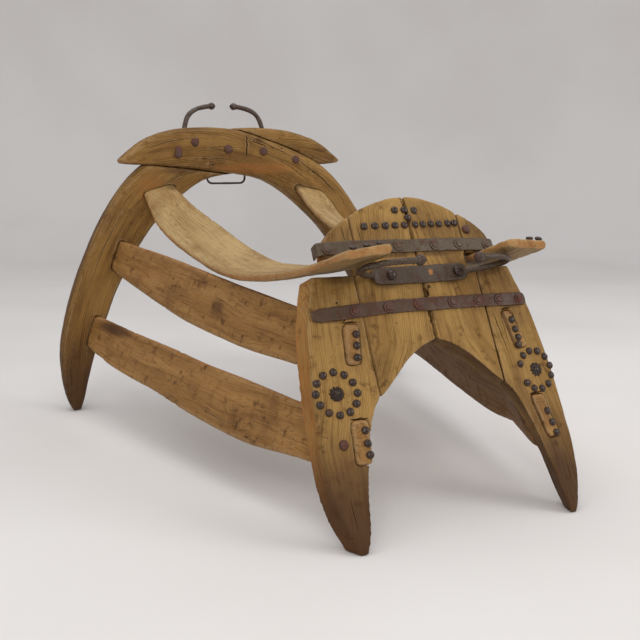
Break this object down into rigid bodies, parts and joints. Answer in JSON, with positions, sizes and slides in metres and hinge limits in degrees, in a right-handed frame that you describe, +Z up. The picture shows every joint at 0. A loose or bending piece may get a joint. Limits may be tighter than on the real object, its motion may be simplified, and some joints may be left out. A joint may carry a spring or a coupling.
{
  "type": "saddle rack",
  "caption": "Wooden camel saddle tree: a planked front arch and a bent rear arch joined by curved side boards, with iron straps, double hooks and a hanging wire loop.",
  "frame": {"origin": "middle of the base, on the ground between the four feet", "axes": "+Z up, -Y towards the front arch with the nailed crown, +X towards the right-hand side of someone facing +Y"},
  "size_m": [0.6236, 0.8008, 0.4998],
  "materials": {
    "big_nail_1": "forged iron, brown rust",
    "big_nail_2": "forged iron, brown rust",
    "crupper_loop": "forged iron, dark patina",
    "front_arch_centre_left": "bare weathered wood, open grain",
    "front_arch_centre_right": "bare weathered wood, open grain",
    "front_arch_crown_left": "bare weathered wood, open grain",
    "front_arch_crown_right": "bare weathered wood, open grain",
    "front_arch_leg_left": "bare weathered wood, open grain",
    "front_arch_leg_right": "bare weathered wood, open grain",
    "front_hook": "forged iron, dark patina",
    "front_strap_lower": "forged iron, dark patina",
    "front_strap_upper": "forged iron, dark patina",
    "hook_nail_1": "forged iron, dark patina",
    "hook_nail_2": "forged iron, dark patina",
    "lap_nail_1": "forged iron, brown rust",
    "lap_nail_2": "forged iron, brown rust",
    "lap_nail_3": "forged iron, brown rust",
    "lap_nail_4": "forged iron, brown rust",
    "lap_nail_5": "forged iron, brown rust",
    "loop_staple_left": "forged iron, dark patina",
    "loop_staple_right": "forged iron, dark patina",
    "lower_board_left": "bare weathered wood, open grain",
    "lower_board_right": "bare weathered wood, open grain",
    "lower_rivet_1": "forged iron, brown rust",
    "lower_rivet_2": "forged iron, brown rust",
    "lower_rivet_3": "forged iron, brown rust",
    "lower_rivet_4": "forged iron, brown rust",
    "lower_rivet_5": "forged iron, brown rust",
    "lower_rivet_6": "forged iron, brown rust",
    "lower_rivet_7": "forged iron, brown rust",
    "mid_board_left": "bare weathered wood, open grain",
    "mid_board_right": "bare weathered wood, open grain",
    "rear_hook": "forged iron, brown rust",
    "rear_plate_nail_1": "forged iron, dark patina",
    "rear_plate_nail_2": "forged iron, dark patina",
    "rear_timber_far": "bare weathered wood, open grain",
    "rear_timber_near": "bare weathered wood, open grain",
    "rosette_boss_left": "forged iron, dark patina",
    "rosette_boss_right": "forged iron, dark patina",
    "seat_board_left": "bare weathered wood, open grain",
    "seat_board_right": "bare weathered wood, open grain",
    "upper_rivet_1": "forged iron, brown rust",
    "upper_rivet_2": "forged iron, brown rust",
    "upper_rivet_3": "forged iron, brown rust",
    "upper_rivet_4": "forged iron, brown rust",
    "upper_rivet_5": "forged iron, brown rust",
    "upper_rivet_6": "forged iron, brown rust"
  },
  "bodies": {
    "tree": {"big_nail_1": "big_nail_1", "big_nail_2": "big_nail_2", "front_arch_centre_left": "front_arch_centre_left", "front_arch_centre_right": "front_arch_centre_right", "front_arch_crown_left": "front_arch_crown_left", "front_arch_crown_right": "front_arch_crown_right", "front_arch_leg_left": "front_arch_leg_left", "front_arch_leg_right": "front_arch_leg_right", "front_hook": "front_hook", "front_strap_lower": "front_strap_lower", "front_strap_upper": "front_strap_upper", "hook_nail_1": "hook_nail_1", "hook_nail_2": "hook_nail_2", "lap_nail_1": "lap_nail_1", "lap_nail_2": "lap_nail_2", "lap_nail_3": "lap_nail_3", "lap_nail_4": "lap_nail_4", "lap_nail_5": "lap_nail_5", "loop_staple_left": "loop_staple_left", "loop_staple_right": "loop_staple_right", "lower_board_left": "lower_board_left", "lower_board_right": "lower_board_right", "lower_rivet_1": "lower_rivet_1", "lower_rivet_2": "lower_rivet_2", "lower_rivet_3": "lower_rivet_3", "lower_rivet_4": "lower_rivet_4", "lower_rivet_5": "lower_rivet_5", "lower_rivet_6": "lower_rivet_6", "lower_rivet_7": "lower_rivet_7", "mid_board_left": "mid_board_left", "mid_board_right": "mid_board_right", "rear_hook": "rear_hook", "rear_plate_nail_1": "rear_plate_nail_1", "rear_plate_nail_2": "rear_plate_nail_2", "rear_timber_far": "rear_timber_far", "rear_timber_near": "rear_timber_near", "rosette_boss_left": "rosette_boss_left", "rosette_boss_right": "rosette_boss_right", "seat_board_left": "seat_board_left", "seat_board_right": "seat_board_right", "upper_rivet_1": "upper_rivet_1", "upper_rivet_2": "upper_rivet_2", "upper_rivet_3": "upper_rivet_3", "upper_rivet_4": "upper_rivet_4", "upper_rivet_5": "upper_rivet_5", "upper_rivet_6": "upper_rivet_6"},
    "loop": {"crupper_loop": "crupper_loop"}
  },
  "joints": [
    {"name": "loop_swing", "type": "hinge", "parent": "tree", "child": "loop", "pos_m": [0, 0.38335, 0.39413], "axis": [1, 0, 0], "range_deg": [0, 150]}
  ]
}
